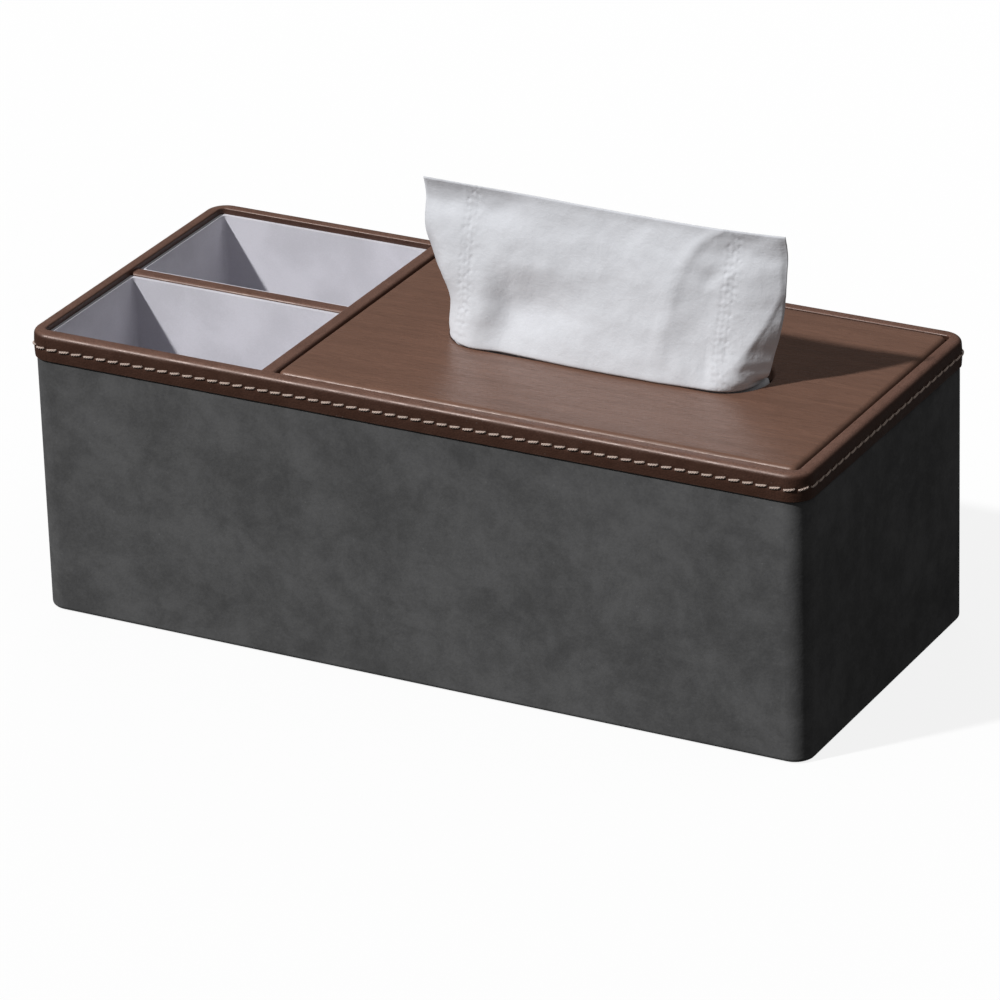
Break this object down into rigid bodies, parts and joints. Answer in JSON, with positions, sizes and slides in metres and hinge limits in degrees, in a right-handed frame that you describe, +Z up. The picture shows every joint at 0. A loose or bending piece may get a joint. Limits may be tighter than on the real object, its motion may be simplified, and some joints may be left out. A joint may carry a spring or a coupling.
{
  "type": "tissue box with divided tray",
  "caption": "Rectangular leather-covered desk box with a divided open tray at one end and a tissue bay under a lift-off slotted lid at the other, a tissue standing out of the slot.",
  "frame": {"origin": "centre of the underside", "axes": "+X along the length towards the tissue end, -Y the front, +Z up"},
  "size_m": [0.2822, 0.1252, 0.1512],
  "materials": {
    "fibreboard": "raw pressed fibreboard, matt",
    "grey_suede": "dark grey brushed suede-look leather with cloudy marks",
    "brown_leather": "dark brown grained leather, satin",
    "wood_grain_leather": "brown leather with fine straight wood-grain streaks, satin",
    "lining_velvet": "pale grey short-pile velvet",
    "bay_lining": "dark grey flocked lining, matt",
    "base_felt": "black non-slip felt sheet",
    "thread": "cream waxed thread",
    "tissue_paper": "white two-ply tissue, matt"
  },
  "bodies": {
    "carcass": {"front_board": "fibreboard", "back_board": "fibreboard", "left_board": "fibreboard", "right_board": "fibreboard", "base_board": "fibreboard", "cross_divider_board": "fibreboard", "mid_divider_board": "fibreboard", "outer_wrap": "grey_suede", "base_cover": "base_felt", "rim_trim": "brown_leather", "rim_stitching": "thread", "cross_divider_trim": "brown_leather", "mid_divider_trim": "brown_leather", "front_tray_lining": "lining_velvet", "back_tray_lining": "lining_velvet", "tissue_bay_lining": "bay_lining", "lid_ledge_front": "fibreboard", "lid_ledge_back": "fibreboard", "lid_ledge_left": "fibreboard", "lid_ledge_right": "fibreboard", "tissue_stack": "tissue_paper"},
    "lid": {"lid_board": "fibreboard", "lid_cover": "wood_grain_leather", "lid_backing": "bay_lining", "top_tissue": "tissue_paper"}
  },
  "joints": [
    {"name": "lid_lift", "type": "slide", "parent": "carcass", "child": "lid", "axis": [0, 0, 1], "range_m": [0, 0.07]}
  ]
}
